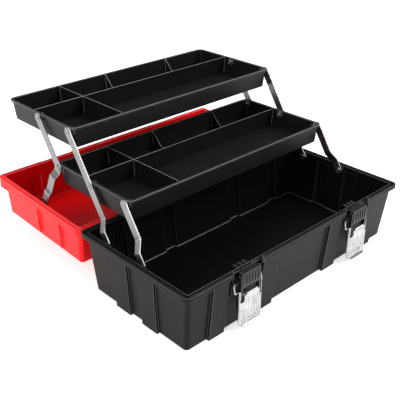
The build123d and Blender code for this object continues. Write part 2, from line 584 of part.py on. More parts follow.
# ---------------------------------------------------------------- trays
def make_tray(middle_y, rim_z, pivots):
    """One tray, with its rim at rim_z and a rivet hole through both ends at each (y, z) pivot."""
    floor_z = rim_z - TRAY_HEIGHT
    half_x = TRAY_LENGTH / 2 - TRAY_FLANGE
    half_y = TRAY_DEPTH / 2 - TRAY_FLANGE
    inner_floor = floor_z + TRAY_FLOOR
    divider_top = rim_z - DIVIDER_DROP
    long_y = middle_y + LONG_DIVIDER_Y
    with BuildPart() as tray:
        low_half = (half_x - TRAY_LEAN, half_y - TRAY_LEAN)
        leaning_block(low_half, floor_z, (half_x, half_y), rim_z, TRAY_CORNER, middle_y)
        with BuildSketch(Plane.XY.offset(rim_z - TRAY_FLANGE_HEIGHT)) as flange:
            with Locations((0, middle_y)):
                RectangleRounded(TRAY_LENGTH, TRAY_DEPTH, TRAY_CORNER + TRAY_FLANGE)
        extrude(amount=TRAY_FLANGE_HEIGHT)
        for place_y, place_z in pivots:
            for side_x in (-1, 1):
                boss_x = sorted((side_x * (half_x - TRAY_LEAN - 1), side_x * TRAY_BOSS_X))
                rod_x(boss_x, place_y, place_z, PIVOT_BOSS_RADIUS)
        inner_low = [half - TRAY_WALL for half in low_half]
        inner_high = (half_x - TRAY_WALL, half_y - TRAY_WALL)
        inner_corner = TRAY_CORNER - TRAY_WALL
        leaning_block(inner_low, inner_floor, inner_high, rim_z, inner_corner, middle_y, Mode.SUBTRACT)

        # Ribs and dividers, each let into the floor and the walls that it meets.
        rib_reach = half_x - TRAY_LEAN - TRAY_WALL / 2
        rib_count = int((2 * inner_low[1] - 2 * TRAY_CORNER) / FLOOR_RIB_PITCH)
        for index in range(rib_count + 1):
            rib_y = middle_y + (index - rib_count / 2) * FLOOR_RIB_PITCH
            block(
                (-rib_reach, rib_reach),
                (rib_y - FLOOR_RIB_WIDTH / 2, rib_y + FLOOR_RIB_WIDTH / 2),
                (inner_floor - TRAY_FLOOR / 2, inner_floor + FLOOR_RIB_HEIGHT),
            )
        lean_in = TRAY_WALL / 2
        long_outline = (
            (-(low_half[0] - lean_in), inner_floor - TRAY_FLOOR / 2),
            (low_half[0] - lean_in, inner_floor - TRAY_FLOOR / 2),
            (half_x - lean_in, divider_top),
            (-(half_x - lean_in), divider_top),
        )
        prism_y((long_y - DIVIDER / 2, long_y + DIVIDER / 2), long_outline)
        cross_outline = (
            (middle_y - low_half[1] + lean_in, inner_floor - TRAY_FLOOR / 2),
            (middle_y + low_half[1] - lean_in, inner_floor - TRAY_FLOOR / 2),
            (middle_y + half_y - lean_in, divider_top),
            (middle_y - half_y + lean_in, divider_top),
        )
        prism_x((CROSS_DIVIDER_X - DIVIDER / 2, CROSS_DIVIDER_X + DIVIDER / 2), cross_outline)
        low_top = inner_floor + LOW_DIVIDER_HEIGHT
        rear_y = middle_y + half_y - lean_in
        low_outline = (
            (long_y, inner_floor - TRAY_FLOOR / 2),
            (middle_y + low_half[1] - lean_in, inner_floor - TRAY_FLOOR / 2),
            (rear_y, divider_top),
            (rear_y - TRAY_WALL, divider_top),
            (rear_y - TRAY_WALL - (divider_top - low_top), low_top),
            (long_y, low_top),
        )
        for low_x in LOW_DIVIDER_XS:
            prism_x((low_x - DIVIDER / 2, low_x + DIVIDER / 2), low_outline)

        for place_y, place_z in pivots:
            for side_x in (-1, 1):
                pad_x = sorted((side_x * TRAY_PAD_X, side_x * (half_x - TRAY_LEAN / 2)))
                rod_x(pad_x, place_y, place_z, TRAY_PAD_RADIUS)
                hole_x = sorted((side_x * (TRAY_PAD_X - 1), side_x * (TRAY_BOSS_X + 1)))
                rod_x(hole_x, place_y, place_z, RIVET_RADIUS + RUNNING_GAP, Mode.SUBTRACT)
    return tray


front_of_lower = (LOWER_TRAY_PIVOT[0] - ARM_SPACING, LOWER_TRAY_PIVOT[1])
rear_of_upper = (UPPER_TRAY_PIVOT[0] + ARM_SPACING, UPPER_TRAY_PIVOT[1])
LOWER_TRAY_PIVOTS = (front_of_lower, LOWER_TRAY_PIVOT, LINK_TOP)
UPPER_TRAY_PIVOTS = (UPPER_TRAY_PIVOT, rear_of_upper)

lower_tray = make_tray(
    LOWER_TRAY_PIVOT[0] - PIVOT_AHEAD_OF_TRAY, LOWER_TRAY_PIVOT[1] + PIVOT_BELOW_RIM, LOWER_TRAY_PIVOTS
)
lower_tray.part.label = "lower_tray"
export_step(lower_tray.part, "parts/lower_tray.step")

upper_tray = make_tray(
    rear_of_upper[0] - PIVOT_AHEAD_OF_TRAY, UPPER_TRAY_PIVOT[1] + PIVOT_BELOW_RIM, UPPER_TRAY_PIVOTS
)
upper_tray.part.label = "upper_tray"
export_step(upper_tray.part, "parts/upper_tray.step")

# ---------------------------------------------------------------- lifting arms
STRAP_END = STRAP_WIDTH / 2 + 1
foot_side = ((-STRAP_END, ARM_FOOT_X), (JOGGLE[0], ARM_FOOT_X), (JOGGLE[1], ARM_X))

with BuildPart() as front_arm:
    stations = (*foot_side, (ARM_LOWER + STRAP_END, ARM_X))
    strap(FRONT_FOOT, ARM_ANGLE, stations, (0, ARM_LOWER))
write_both_sides(front_arm, "front_arm")

with BuildPart() as middle_arm:
    stations = (*foot_side, (ARM_LOWER + ARM_UPPER + STRAP_END, ARM_X))
    strap(MIDDLE_FOOT, ARM_ANGLE, stations, (0, ARM_LOWER, ARM_LOWER + ARM_UPPER))
write_both_sides(middle_arm, "middle_arm")

with BuildPart() as rear_arm:
    stations = ((-STRAP_END, ARM_X), (ARM_UPPER + STRAP_END, ARM_X))
    strap(LINK_TOP, ARM_ANGLE, stations, (0, ARM_UPPER))
write_both_sides(rear_arm, "rear_arm")

# ---------------------------------------------------------------- lid link, its pin and its ear
with BuildPart() as lid_link:
    stations = (
        (-STRAP_END, LINK_X),
        (LINK_STEPS[0][0], LINK_X),
        (LINK_STEPS[0][1], LINK_X + LINK_MIDDLE_STEP),
        (LINK_STEPS[1][0], LINK_X + LINK_MIDDLE_STEP),
        (LINK_STEPS[1][1], LINK_END_X),
        (LINK_LENGTH + STRAP_END, LINK_END_X),
    )
    strap(LINK_TOP, LINK_ANGLE, stations, (0, LINK_LENGTH))
write_both_sides(lid_link, "lid_link")

with BuildPart() as link_pin:
    rod_x((LINK_END_X - HEAD, LINK_END_X), LINK_END[0], LINK_END[1], HEAD_RADIUS)
    rod_x((LINK_END_X, LINK_END_X + STRAP), LINK_END[0], LINK_END[1], RIVET_RADIUS)
    cup_x = (LINK_END_X - HEAD, LINK_END_X + STRAP / 2)
    rod_x(cup_x, LINK_END[0], LINK_END[1], RIVET_BORE, Mode.SUBTRACT)
write_both_sides(link_pin, "link_pin")

with BuildPart() as shut_ear:
    with BuildSketch(Plane.YZ.offset(EAR_X)) as ear_outline:
        with Locations((ear_y, ear_z + (EAR_LENGTH - EAR_WIDTH) / 2)):
            SlotCenterToCenter(EAR_LENGTH - EAR_WIDTH, EAR_WIDTH, rotation=90)
        with Locations(*[(ear_y, ear_z + drop) for drop in EAR_PIN_DROPS]):
            Circle(EAR_PIN_RADIUS, mode=Mode.SUBTRACT)
    extrude(amount=STRAP)
with BuildPart() as lid_ear:
    add(shut_ear.part.rotate(HINGE_AXIS, -LID_OPEN_ANGLE))
write_both_sides(lid_ear, "lid_ear")

with BuildPart() as shut_ear_pins:
    for drop in EAR_PIN_DROPS:
        pin_x = (EAR_X + 0.05, lid_outer(LID_TOP)[0] - LID_WALL / 2 - 0.1)
        rod_x(pin_x, ear_y, ear_z + drop, EAR_PIN_RADIUS - RUNNING_GAP)
with BuildPart() as ear_pins:
    add(shut_ear_pins.part.rotate(HINGE_AXIS, -LID_OPEN_ANGLE))
write_group(ear_pins, "ear_pins")

# ---------------------------------------------------------------- rivets of the arms
with BuildPart() as base_rivets:
    for foot in (MIDDLE_FOOT, FRONT_FOOT):
        head_x = ARM_FOOT_X - SIDE_GAP
        rivet(foot, head_x, BASE_PIVOT_WALL_X + BASE_WALL - 1.0, HEAD_RADIUS)
        rod_x((head_x - HEAD, head_x + 2 * HEAD), foot[0], foot[1], RIVET_BORE, Mode.SUBTRACT)
write_group(base_rivets, "base_rivets")


def tray_rivets(pivots, linked):
    """Rivets through one end of a tray; the last pivot also carries the lid link when linked."""
    wall_x = TRAY_PAD_X - SIDE_GAP
    with BuildPart() as rivets:
        for place in pivots:
            outer_strap = LINK_X if linked and place == pivots[-1] else ARM_X
            x_out = outer_strap + STRAP + SIDE_GAP
            rivet(place, wall_x, x_out, TRAY_HEAD_RADIUS, HEAD_RADIUS)
            bore_x = (wall_x - HEAD, x_out + HEAD)
            rod_x(bore_x, place[0], place[1], RIVET_BORE, Mode.SUBTRACT)
    return rivets


lower_tray_rivets = tray_rivets(LOWER_TRAY_PIVOTS, linked=True)
write_group(lower_tray_rivets, "lower_tray_rivets")
upper_tray_rivets = tray_rivets(UPPER_TRAY_PIVOTS, linked=False)
write_group(upper_tray_rivets, "upper_tray_rivets")

# ---------------------------------------------------------------- hinge pins
with BuildPart() as hinge_pin:
    hinge_x = HINGE_XS[1]
    end = KNUCKLE_OUTER + 0.2
    rod_x((hinge_x - end, hinge_x + end), HINGE_Y, HINGE_Z, HINGE_PIN_RADIUS)
    for head_x in (hinge_x - end - HEAD, hinge_x + end):
        rod_x((head_x, head_x + HEAD), HINGE_Y, HINGE_Z, HINGE_PIN_RADIUS + 1)
write_both_sides(hinge_pin, "hinge_pin")


# ---------------------------------------------------------------- latches
def from_root(y):
    """Y of a place measured from the root of the front flange."""
    return FLANGE_ROOT_Y + y


def wall_y(z):
    """Y of the base's front wall at height z."""
    return -base_outer(z)[1]


with BuildPart() as latch_bracket:
    plate_x = (LATCH_X - BRACKET_WIDTH / 2, LATCH_X + BRACKET_WIDTH / 2)
    plate_outline = (
        (wall_y(BRACKET_Z[0]) - BRACKET_GAP, BRACKET_Z[0]),
        (wall_y(BRACKET_Z[1]) - BRACKET_GAP, BRACKET_Z[1]),
        (wall_y(BRACKET_Z[1]) - BRACKET_GAP - BRACKET_PLATE, BRACKET_Z[1]),
        (wall_y(BRACKET_Z[0]) - BRACKET_GAP - BRACKET_PLATE, BRACKET_Z[0]),
    )
    prism_x(plate_x, plate_outline)
    wire_top = (from_root(WIRE_TOP[0]), WIRE_TOP[1])
    for side_x in (-1, 1):
        ear_x = sorted((LATCH_X + side_x * BRACKET_EARS[0], LATCH_X + side_x * BRACKET_EARS[1]))
        rod_x(ear_x, wire_top[0], wire_top[1], EYE_RADIUS)
        ear_z_span = (wire_top[1] - EYE_RADIUS, wire_top[1] + EYE_RADIUS)
        block(ear_x, (wire_top[0], wall_y(wire_top[1]) - BRACKET_GAP - BRACKET_PLATE / 2), ear_z_span)
    rod_x(plate_x, wire_top[0], wire_top[1], WIRE_RADIUS + RUNNING_GAP, Mode.SUBTRACT)
    for prong_x in PRONG_XS:
        middle = LATCH_X + prong_x
        inner_y = wall_y(PRONG_Z) + BASE_WALL
        block(
            (middle - PRONG_SIZE[0] / 2, middle + PRONG_SIZE[0] / 2),
            (wall_y(PRONG_Z) - BRACKET_GAP - BRACKET_PLATE / 2, inner_y + PRONG_REACH),
            (PRONG_Z - PRONG_SIZE[1] / 2, PRONG_Z + PRONG_SIZE[1] / 2),
        )
        barb = (
            (inner_y + 0.4, PRONG_Z - PRONG_SIZE[1] / 2),
            (inner_y + 0.4, PRONG_Z - PRONG_SIZE[1] / 2 - 1.2),
            (inner_y + PRONG_REACH, PRONG_Z - PRONG_SIZE[1] / 2),
        )
        prism_x((middle - PRONG_SIZE[0] / 2, middle + PRONG_SIZE[0] / 2), barb)
    finger_y = (from_root(FINGER_PLATE[0]), wall_y(FINGER_Z[0]) + BASE_WALL + FINGER_REACH)
    for finger_x in FINGER_XS:
        across = (LATCH_X + finger_x - FINGER_WIDTH / 2, LATCH_X + finger_x + FINGER_WIDTH / 2)
        block(across, finger_y, FINGER_Z)
    carrier_half = FINGER_XS[-1] + FINGER_WIDTH / 2
    block(
        (LATCH_X - carrier_half, LATCH_X + carrier_half),
        (from_root(FINGER_PLATE[0]), from_root(FINGER_PLATE[1])),
        (BRACKET_Z[1] - 1.2, FINGER_Z[1]),
    )
write_both_sides(latch_bracket, "latch_bracket")

wire_foot = (from_root(WIRE_FOOT[0]), WIRE_FOOT[1])
with BuildPart() as latch_wire:
    stub_x = LEVER_WIDTH / 2 - LEVER_SHEET + 0.1
    with BuildLine() as wire_path:
        FilletPolyline(
            (LATCH_X - stub_x, *wire_foot),
            (LATCH_X - WIRE_LEG_X, *wire_foot),
            (LATCH_X - WIRE_LEG_X, *wire_top),
            (LATCH_X + WIRE_LEG_X, *wire_top),
            (LATCH_X + WIRE_LEG_X, *wire_foot),
            (LATCH_X + stub_x, *wire_foot),
            radius=WIRE_BEND,
        )
    with BuildSketch(Plane(origin=wire_path.line @ 0, z_dir=wire_path.line % 0)):
        Circle(WIRE_RADIUS)
    sweep(path=wire_path.line)
write_both_sides(latch_wire, "latch_wire")

hook_pivot = (from_root(HOOK_PIVOT[0]), HOOK_PIVOT[1])
lever_face = from_root(LEVER_FRONT)
lever_back = lever_face + LEVER_DEPTH
with BuildPart() as latch_lever:
    with BuildSketch(Plane.XY.offset(LEVER_Z[0])) as channel:
        with Locations((LATCH_X, lever_face + LEVER_DEPTH / 2)):
            Rectangle(LEVER_WIDTH, LEVER_DEPTH)
        fillet(channel.vertices().group_by(Axis.Y)[0], radius=LEVER_CORNER)
        with BuildSketch(mode=Mode.SUBTRACT) as hollow:
            with Locations((LATCH_X, lever_face + LEVER_SHEET + LEVER_DEPTH / 2)):
                Rectangle(LEVER_WIDTH - 2 * LEVER_SHEET, LEVER_DEPTH)
            fillet(hollow.vertices().group_by(Axis.Y)[0], radius=LEVER_CORNER - LEVER_SHEET)
    extrude(amount=LEVER_Z[1] - LEVER_Z[0])
    # Side view of the flanges: shallow at the toe, with ears round the wire's ends at the top.
    ear_bottom = wire_foot[1] - 8
    behind = (
        (lever_face + LEVER_TOE_FLANGE + LEVER_SHEET, LEVER_Z[0] - 1),
        (lever_back + 1, LEVER_Z[0] - 1),
        (lever_back + 1, ear_bottom),
        (lever_back, ear_bottom),
    )
    lever_x = (LATCH_X - LEVER_WIDTH / 2 - 1, LATCH_X + LEVER_WIDTH / 2 + 1)
    prism_x(lever_x, behind, Mode.SUBTRACT)
    # Front view: sloping shoulders either side of a centre tab.
    flange_in = LEVER_WIDTH / 2 - LEVER_SHEET - 0.1
    for side_x in (-1, 1):
        shoulder = (
            (LATCH_X + side_x * LEVER_TAB[0] / 2, LEVER_Z[1] + 1),
            (LATCH_X + side_x * LEVER_TAB[0] / 2, LEVER_SHOULDER[1]),
            (LATCH_X + side_x * (LEVER_FLAT / 2 - 1), LEVER_SHOULDER[1]),
            (LATCH_X + side_x * LEVER_FLAT / 2, LEVER_SHOULDER[1] - 1.5),
            (LATCH_X + side_x * LEVER_FLAT / 2, LEVER_SHOULDER[0] + 1),
            (LATCH_X + side_x * (LEVER_WIDTH / 2 + 1), LEVER_SHOULDER[0] - 2),
            (LATCH_X + side_x * (LEVER_WIDTH / 2 + 1), LEVER_Z[1] + 1),
        )
        prism_y((lever_face - 1, lever_face + LEVER_EDGE_CUT), shoulder, Mode.SUBTRACT)
    tab_x = (LATCH_X - flange_in, LATCH_X + flange_in)
    above_tab = (LEVER_TAB[1], LEVER_Z[1] + 1)
    block(tab_x, (lever_face - 1, lever_face + LEVER_EDGE_CUT), above_tab, Mode.SUBTRACT)
    for slot_z in LEVER_SLOTS:
        slot_x = (LATCH_X - LEVER_SLOT[0] / 2, LATCH_X + LEVER_SLOT[0] / 2)
        slot_height = (slot_z - LEVER_SLOT[1] / 2, slot_z + LEVER_SLOT[1] / 2)
        block(slot_x, (lever_face - 1, lever_face + 2 * LEVER_SHEET), slot_height, Mode.SUBTRACT)
    rod_x(lever_x, wire_foot[0], wire_foot[1], WIRE_RADIUS + RUNNING_GAP, Mode.SUBTRACT)
    rod_x(lever_x, hook_pivot[0], hook_pivot[1], HOOK_PIN_RADIUS, Mode.SUBTRACT)
    # Finger lip along the toe.
    lip = (
        (lever_face, LEVER_Z[0] + 1.5),
        (lever_face - 2.2, LEVER_Z[0]),
        (lever_face - 2.2, LEVER_Z[0] - 1),
        (lever_face - 1.2, LEVER_Z[0] - 1),
        (lever_face + LEVER_SHEET, LEVER_Z[0] + 0.5),
        (lever_face + LEVER_SHEET, LEVER_Z[0] + 1.5),
    )
    lip_half = LEVER_WIDTH / 2 - LEVER_CORNER
    prism_x((LATCH_X - lip_half, LATCH_X + lip_half), lip)
write_both_sides(latch_lever, "latch_lever")

with BuildPart() as latch_hook:
    hook_x = (LATCH_X - HOOK_WIDTH / 2, LATCH_X + HOOK_WIDTH / 2)
    front_y = from_root(HOOK_Y[0])
    back_y = from_root(HOOK_Y[1])
    middle_z = (HOOK_Z[0] + HOOK_Z[1]) / 2
    hook_outline = (
        (back_y, HOOK_Z[0]),
        (back_y, HOOK_Z[1] - 3),
        (back_y + 1.8, HOOK_Z[1] - 3),
        (back_y + 1.8, HOOK_Z[1]),
        (front_y + 1.5, HOOK_Z[1]),
        (front_y, middle_z + 5),
        (front_y, middle_z - 5),
        (front_y + 2, HOOK_Z[0]),
    )
    prism_x(hook_x, hook_outline)
    # Grip ribs, left standing between grooves on the front face.
    rib_pitch = HOOK_WIDTH / (HOOK_RIBS + 1)
    for index in range(HOOK_RIBS):
        groove_x = hook_x[0] + rib_pitch * (index + 1)
        block(
            (groove_x - rib_pitch / 4, groove_x + rib_pitch / 4),
            (front_y - 1, front_y + HOOK_RIB_DEPTH),
            (HOOK_Z[0] - 1, HOOK_Z[1] - 3.5),
            Mode.SUBTRACT,
        )
    for side_x in (-1, 1):
        cheek_x = sorted(
            (LATCH_X + side_x * (HOOK_WIDTH / 2 - 1), LATCH_X + side_x * (HOOK_WIDTH / 2 + HOOK_CHEEK))
        )
        cheek_y = (from_root(HOOK_CHEEK_Y[0]), from_root(HOOK_CHEEK_Y[1]))
        cheek = (
            (cheek_y[0], HOOK_Z[1] - 4),
            (cheek_y[0], hook_pivot[1] - 1),
            (hook_pivot[0] - 1, hook_pivot[1] - 2.8),
            (hook_pivot[0] + 1, hook_pivot[1] - 2.8),
            (cheek_y[1], hook_pivot[1] - 1),
            (cheek_y[1], HOOK_Z[1] - 4),
        )
        prism_x(cheek_x, cheek)
    rod_x((hook_x[0] - HOOK_CHEEK - 1, hook_x[1] + HOOK_CHEEK + 1),
          hook_pivot[0], hook_pivot[1], HOOK_PIN_RADIUS + RUNNING_GAP, Mode.SUBTRACT)
write_both_sides(latch_hook, "latch_hook")

with BuildPart() as hook_pin:
    pin_half = LEVER_WIDTH / 2 + 0.3
    rod_x((LATCH_X - pin_half, LATCH_X + pin_half), hook_pivot[0], hook_pivot[1], HOOK_PIN_RADIUS)
    for side_x in (-1, 1):
        cap_x = sorted((LATCH_X + side_x * LEVER_WIDTH / 2, LATCH_X + side_x * (LEVER_WIDTH / 2 + 0.8)))
        rod_x(cap_x, hook_pivot[0], hook_pivot[1], HOOK_PIN_RADIUS + 0.8)
write_both_sides(hook_pin, "hook_pin")

# ---------------------------------------------------------------- carrying handle
with BuildPart() as shut_handle:
    half_span = HANDLE_SPAN / 2
    with BuildSketch(Plane.XY.offset(LID_TOP + HANDLE_LIFT)) as handle_plan:
        with Locations((0, (HANDLE_REACH - HANDLE_TAIL) / 2)):
            Rectangle(HANDLE_SPAN, HANDLE_REACH + HANDLE_TAIL)
        fillet(handle_plan.vertices().group_by(Axis.Y)[-1], radius=HANDLE_GRIP - 1)
        grip_gap = HANDLE_REACH - HANDLE_GRIP + HANDLE_TAIL
        with Locations((0, grip_gap / 2 - HANDLE_TAIL)):
            Rectangle(HANDLE_SPAN - 2 * HANDLE_ARM, grip_gap, mode=Mode.SUBTRACT)
    extrude(amount=HANDLE_THICK)
    fillet(shut_handle.edges().filter_by(Axis.X).group_by(Axis.Y)[-1], radius=HANDLE_THICK / 2 - 1)
    fillet(shut_handle.edges().filter_by(Axis.X).group_by(Axis.Y)[0], radius=HANDLE_THICK / 2 - 0.5)
    bore_x = (-half_span - 1, half_span + 1)
    rod_x(bore_x, 0, handle_z, HANDLE_PIN_RADIUS + RUNNING_GAP, Mode.SUBTRACT)
with BuildPart() as carry_handle:
    add(shut_handle.part.rotate(HINGE_AXIS, -LID_OPEN_ANGLE))
carry_handle.part.label = "carry_handle"
export_step(carry_handle.part, "parts/carry_handle.step")

with BuildPart() as shut_handle_pin:
    rod_x((lug_out - LUG_WIDTH, half_span + SIDE_GAP), 0, handle_z, HANDLE_PIN_RADIUS)
    rod_x((half_span + SIDE_GAP, half_span + SIDE_GAP + HEAD), 0, handle_z, HEAD_RADIUS - 0.6)
with BuildPart() as handle_pins:
    add(shut_handle_pin.part.rotate(HINGE_AXIS, -LID_OPEN_ANGLE))
write_group(handle_pins, "handle_pins")
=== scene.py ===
"""Cantilever tool box: finishes, softened edges, floor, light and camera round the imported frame."""

import json
import math

import bmesh
import bpy
import numpy as np
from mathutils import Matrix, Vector


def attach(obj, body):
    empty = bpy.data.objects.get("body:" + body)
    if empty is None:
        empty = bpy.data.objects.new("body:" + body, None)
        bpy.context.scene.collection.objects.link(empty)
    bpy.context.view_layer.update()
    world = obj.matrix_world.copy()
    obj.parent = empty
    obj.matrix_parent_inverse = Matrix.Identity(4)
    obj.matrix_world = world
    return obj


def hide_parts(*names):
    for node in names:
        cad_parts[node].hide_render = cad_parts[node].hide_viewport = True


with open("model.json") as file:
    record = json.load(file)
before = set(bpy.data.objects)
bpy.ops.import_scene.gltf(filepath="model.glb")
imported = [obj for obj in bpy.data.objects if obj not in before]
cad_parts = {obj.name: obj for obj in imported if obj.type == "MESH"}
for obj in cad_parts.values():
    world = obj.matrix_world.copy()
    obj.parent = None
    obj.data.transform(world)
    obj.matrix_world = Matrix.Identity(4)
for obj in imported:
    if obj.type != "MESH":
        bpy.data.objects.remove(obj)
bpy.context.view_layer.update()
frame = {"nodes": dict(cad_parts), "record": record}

MM = 0.001
NODES = frame["nodes"]
BODY_OF = {
    node: body for body, nodes in frame["record"]["behaviour"]["bodies"].items() for node in nodes
}
SLOT_OF = {row["node"]: row["material_slot"] for row in frame["record"]["subparts"]}

# ---------------------------------------------------------------- light, floor and camera values
CAMERA_PLACE = Vector((-650.5, -583.4, 562.2)) * MM
CAMERA_AZIMUTH = -43.49
CAMERA_ELEVATION = 27.92
CAMERA_LENS = 61.78
SENSOR = 36.0

FLOOR_RADIUS = 9.0
FLOOR_COLOR = (0.87, 0.87, 0.875, 1)
FLOOR_RIM_POINTS = 96
FLOOR_ROUGHNESS = 0.9
FLOOR_SPECULAR = 0.1
FLOOR_GLOW = 0.6  # a lit table under white paper
WHITE = (1.0, 1.0, 1.0, 1)
SKY_STRENGTH = 0.36
CLIP_END = 60.0
# Softboxes: name, place and target in metres, side in metres, power in watts.
SOFTBOXES = (
    ("key_softbox", (1.4, -2.1, 2.0), (0.0, 0.1, 0.1), 1.7, 58.0),
    ("top_softbox", (0.2, 0.5, 2.8), (0.0, 0.1, 0.1), 2.4, 48.0),
    ("left_softbox", (-2.3, -0.2, 1.5), (0.0, 0.15, 0.05), 1.7, 32.0),
)

# ---------------------------------------------------------------- values of the shared effects
FINE_PER_PEBBLE = 2.1
FINE_SHARE = 0.5
BROAD_SCALE = 14.0
PATCH_SCALE = 38.0
SCRATCH_TURN = (0.4, 0.9, 0.6)
SCRATCH_STRETCH = (1.0, 14.0, 1.0)
SCRATCH_SCALE = 70.0
SCRATCH_LEVEL = 0.66
SCRATCH_CONTRAST = 12.0
MOTTLE_SCALE = 120.0
MIDDLE = 0.5  # the middle of a noise, taken off so that it swings about zero
PLASTIC_RELIEF_DEPTH = 0.0004
PLASTIC_FLOW = 0.5
METAL_RELIEF_DEPTH = 0.0002
METAL_PATCHINESS = 0.16


# ---------------------------------------------------------------- node helpers
def new_node(tree, kind, **inputs):
    """Add a node of this kind and set its named inputs."""
    node = tree.nodes.new(kind)
    for name, value in inputs.items():
        node.inputs[name.replace("_", " ")].default_value = value
    return node


def math_node(tree, operation, first, second, clamp=False):
    """Join two values, sockets or numbers, with one Math node."""
    node = tree.nodes.new("ShaderNodeMath")
    node.operation = operation
    node.use_clamp = clamp
    for socket, value in zip(node.inputs, (first, second)):
        if isinstance(value, (int, float)):
            socket.default_value = value
        else:
            tree.links.new(value, socket)
    return node.outputs[0]


def group_tree(name, inputs, outputs):
    """An empty shader group with named sockets; inputs are (name, kind, default)."""
    tree = bpy.data.node_groups.new(name, "ShaderNodeTree")
    for label, kind, default in inputs:
        socket = tree.interface.new_socket(name=label, in_out="INPUT", socket_type=kind)
        if default is not None:
            socket.default_value = default
    for label, kind in outputs:
        tree.interface.new_socket(name=label, in_out="OUTPUT", socket_type=kind)
    source = tree.nodes.new("NodeGroupInput")
    sink = tree.nodes.new("NodeGroupOutput")
    return tree, source.outputs, sink.inputs


def place_group(tree, group, vector, **values):
    """Put a group into a material, fed by a vector, with its own values."""
    node = tree.nodes.new("ShaderNodeGroup")
    node.node_tree = group
    tree.links.new(vector, node.inputs["Vector"])
    for name, value in values.items():
        node.inputs[name.replace("_", " ")].default_value = value
    return node


# ---------------------------------------------------------------- shared effects
def moulded_grain_group():
    """Fine pebbled mould texture: small cells and finer noise added up as one height."""
    tree, source, sink = group_tree(
        "moulded_grain",
        (
            ("Vector", "NodeSocketVector", None),
            ("Pebbles per Metre", "NodeSocketFloat", 900.0),
            ("Flow", "NodeSocketFloat", 0.25),
        ),
        (("Height", "NodeSocketFloat"), ("Tone", "NodeSocketFloat")),
    )
    cells = new_node(tree, "ShaderNodeTexVoronoi")
    cells.feature = "SMOOTH_F1"
    tree.links.new(source["Vector"], cells.inputs["Vector"])
    tree.links.new(source["Pebbles per Metre"], cells.inputs["Scale"])
    fine = new_node(tree, "ShaderNodeTexNoise", Detail=3.0, Roughness=0.6)
    tree.links.new(source["Vector"], fine.inputs["Vector"])
    fine_scale = math_node(tree, "MULTIPLY", source["Pebbles per Metre"], FINE_PER_PEBBLE)
    tree.links.new(fine_scale, fine.inputs["Scale"])
    broad = new_node(tree, "ShaderNodeTexNoise", Scale=BROAD_SCALE, Detail=4.0, Roughness=0.55)
    tree.links.new(source["Vector"], broad.inputs["Vector"])
    pebbles = math_node(tree, "SUBTRACT", 1.0, cells.outputs["Distance"])
    grain = math_node(tree, "MULTIPLY_ADD", fine.outputs["Fac"], FINE_SHARE)
    tree.links.new(pebbles, grain.node.inputs[2])
    tree.links.new(grain, sink["Height"])
    swing = math_node(tree, "SUBTRACT", broad.outputs["Fac"], MIDDLE)
    flow = math_node(tree, "MULTIPLY", swing, source["Flow"])
    tree.links.new(math_node(tree, "ADD", flow, 1.0), sink["Tone"])
    return tree


def handling_group():
    """Scuffs and fingerprints: broad patches and short scratches that change the roughness."""
    tree, source, sink = group_tree(
        "handling",
        (
            ("Vector", "NodeSocketVector", None),
            ("Roughness", "NodeSocketFloat", 0.4),
            ("Patchiness", "NodeSocketFloat", 0.12),
            ("Scratches", "NodeSocketFloat", 0.1),
        ),
        (("Roughness", "NodeSocketFloat"), ("Scratch", "NodeSocketFloat")),
    )
    patches = new_node(tree, "ShaderNodeTexNoise", Scale=PATCH_SCALE, Detail=5.0, Roughness=0.62)
    tree.links.new(source["Vector"], patches.inputs["Vector"])
    turn = tree.nodes.new("ShaderNodeMapping")
    turn.inputs["Rotation"].default_value = SCRATCH_TURN
    turn.inputs["Scale"].default_value = SCRATCH_STRETCH
    tree.links.new(source["Vector"], turn.inputs["Vector"])
    lines = new_node(tree, "ShaderNodeTexNoise", Scale=SCRATCH_SCALE, Detail=2.0, Roughness=0.5)
    tree.links.new(turn.outputs["Vector"], lines.inputs["Vector"])
    peak = math_node(tree, "SUBTRACT", lines.outputs["Fac"], SCRATCH_LEVEL)
    scratch = math_node(tree, "MULTIPLY", peak, SCRATCH_CONTRAST, clamp=True)
    swing = math_node(tree, "SUBTRACT", patches.outputs["Fac"], MIDDLE)
    patchy = math_node(tree, "MULTIPLY", swing, source["Patchiness"])
    rough = math_node(tree, "ADD", source["Roughness"], patchy)
    marked = math_node(tree, "MULTIPLY", scratch, source["Scratches"])
    tree.links.new(math_node(tree, "ADD", rough, marked, clamp=True), sink["Roughness"])
    tree.links.new(marked, sink["Scratch"])
    return tree


def rolled_metal_group():
    """Rolling lines and plating mottle of sheet metal, as a tone and a height."""
    tree, source, sink = group_tree(
        "rolled_metal",
        (
            ("Vector", "NodeSocketVector", None),
            ("Stretch", "NodeSocketVector", (30.0, 1.0, 1.0)),
            ("Lines", "NodeSocketFloat", 260.0),
            ("Mottle", "NodeSocketFloat", 0.2),
        ),
        (("Tone", "NodeSocketFloat"), ("Height", "NodeSocketFloat")),
    )
    along = tree.nodes.new("ShaderNodeVectorMath")
    along.operation = "MULTIPLY"
    tree.links.new(source["Vector"], along.inputs[0])
    tree.links.new(source["Stretch"], along.inputs[1])
    lines = new_node(tree, "ShaderNodeTexNoise", Detail=3.0, Roughness=0.65)
    tree.links.new(along.outputs[0], lines.inputs["Vector"])
    tree.links.new(source["Lines"], lines.inputs["Scale"])
    spots = new_node(tree, "ShaderNodeTexNoise", Scale=MOTTLE_SCALE, Detail=4.0, Roughness=0.7)
    tree.links.new(source["Vector"], spots.inputs["Vector"])
    both = math_node(tree, "ADD", lines.outputs["Fac"], spots.outputs["Fac"])
    swing = math_node(tree, "SUBTRACT", both, 2 * MIDDLE)
    mottled = math_node(tree, "MULTIPLY", swing, source["Mottle"])
    tree.links.new(math_node(tree, "ADD", mottled, 1.0), sink["Tone"])
    tree.links.new(lines.outputs["Fac"], sink["Height"])
    return tree


GRAIN = moulded_grain_group()
HANDLING = handling_group()
ROLLED = rolled_metal_group()


